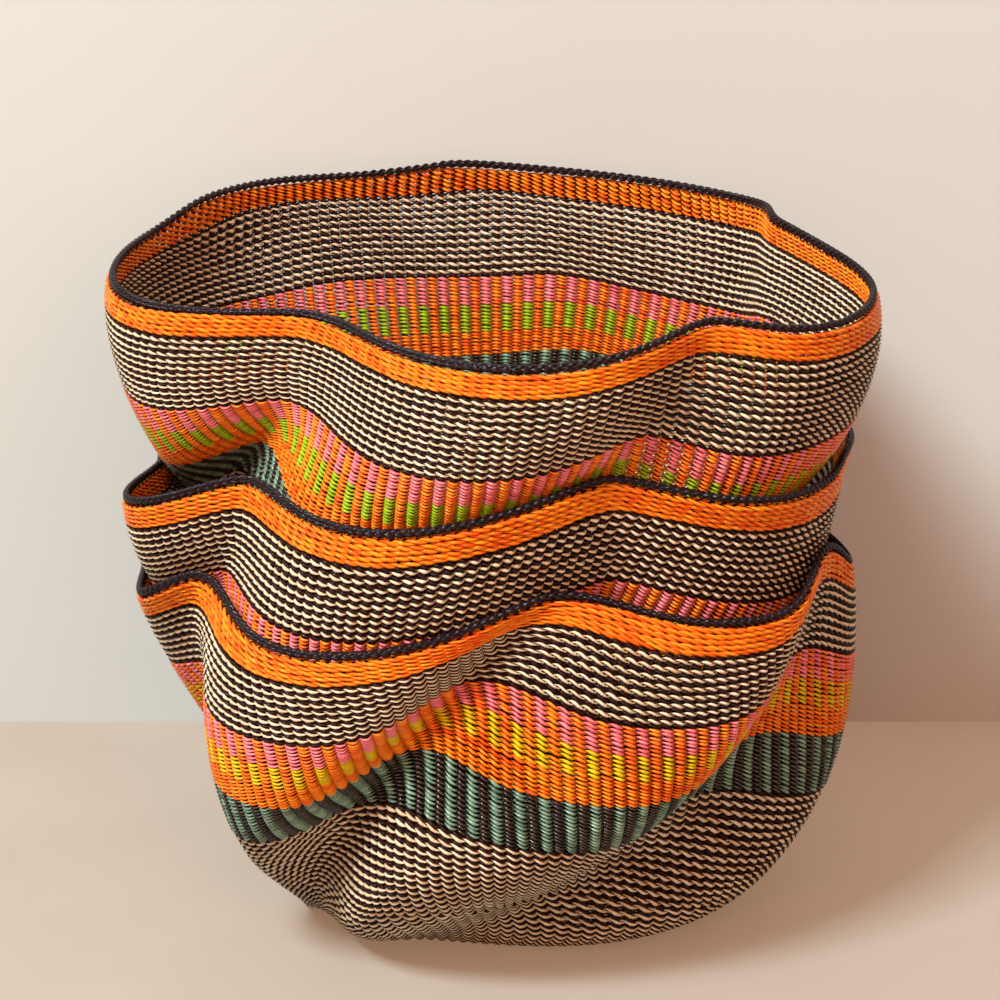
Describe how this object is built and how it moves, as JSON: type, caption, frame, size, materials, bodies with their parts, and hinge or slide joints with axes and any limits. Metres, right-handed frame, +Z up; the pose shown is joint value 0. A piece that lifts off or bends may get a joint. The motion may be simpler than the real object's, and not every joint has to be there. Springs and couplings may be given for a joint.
{
  "type": "nest of woven straw baskets",
  "caption": "Nest of wavy-walled round baskets, twined from dyed straw in stripes and ribbed colour bands, each lifting out of the next.",
  "frame": {"origin": "on the floor, at the middle of the bottom basket's flat base", "axes": "+Z up out of the baskets' mouths, -Y towards the viewer of the picture, +X to the viewer's right"},
  "size_m": [0.3928, 0.4055, 0.3555],
  "materials": {
    "dark_braid": "dark dyed straw, twisted and braided, slight gloss",
    "orange_straw": "orange dyed straw in twined rows, satin",
    "striped_straw": "black and natural cream straw in alternate twined rows, satin",
    "pink_orange_straw": "pink and orange straw in upright ribs, satin",
    "lime_orange_straw": "lime green and orange straw in upright ribs, satin",
    "yellow_orange_straw": "yellow and orange straw in upright ribs, satin",
    "teal_black_straw": "teal and black straw in upright ribs, satin"
  },
  "bodies": {
    "bottom_basket": {"bottom_rim_braid": "dark_braid", "bottom_orange_border": "orange_straw", "bottom_upper_stripes": "striped_straw", "bottom_pink_ribs": "pink_orange_straw", "bottom_yellow_ribs": "yellow_orange_straw", "bottom_plain_orange": "orange_straw", "bottom_teal_ribs": "teal_black_straw", "bottom_lower_stripes": "striped_straw", "bottom_foot_stripes": "striped_straw", "bottom_base": "striped_straw"},
    "middle_basket": {"middle_rim_braid": "dark_braid", "middle_orange_border": "orange_straw", "middle_upper_stripes": "striped_straw", "middle_pink_ribs": "pink_orange_straw", "middle_lime_ribs": "lime_orange_straw", "middle_plain_orange": "orange_straw", "middle_teal_ribs": "teal_black_straw", "middle_lower_stripes": "striped_straw", "middle_base": "striped_straw"},
    "top_basket": {"top_rim_braid": "dark_braid", "top_orange_border": "orange_straw", "top_upper_stripes": "striped_straw", "top_pink_ribs": "pink_orange_straw", "top_lime_ribs": "lime_orange_straw", "top_plain_orange": "orange_straw", "top_teal_ribs": "teal_black_straw", "top_lower_stripes": "striped_straw", "top_base": "striped_straw"}
  },
  "joints": [
    {"name": "middle_lift_out", "type": "slide", "parent": "bottom_basket", "child": "middle_basket", "axis": [0, 0, 1], "range_m": [0, 0.2]},
    {"name": "top_lift_out", "type": "slide", "parent": "middle_basket", "child": "top_basket", "axis": [0, 0, 1], "range_m": [0, 0.2]}
  ]
}
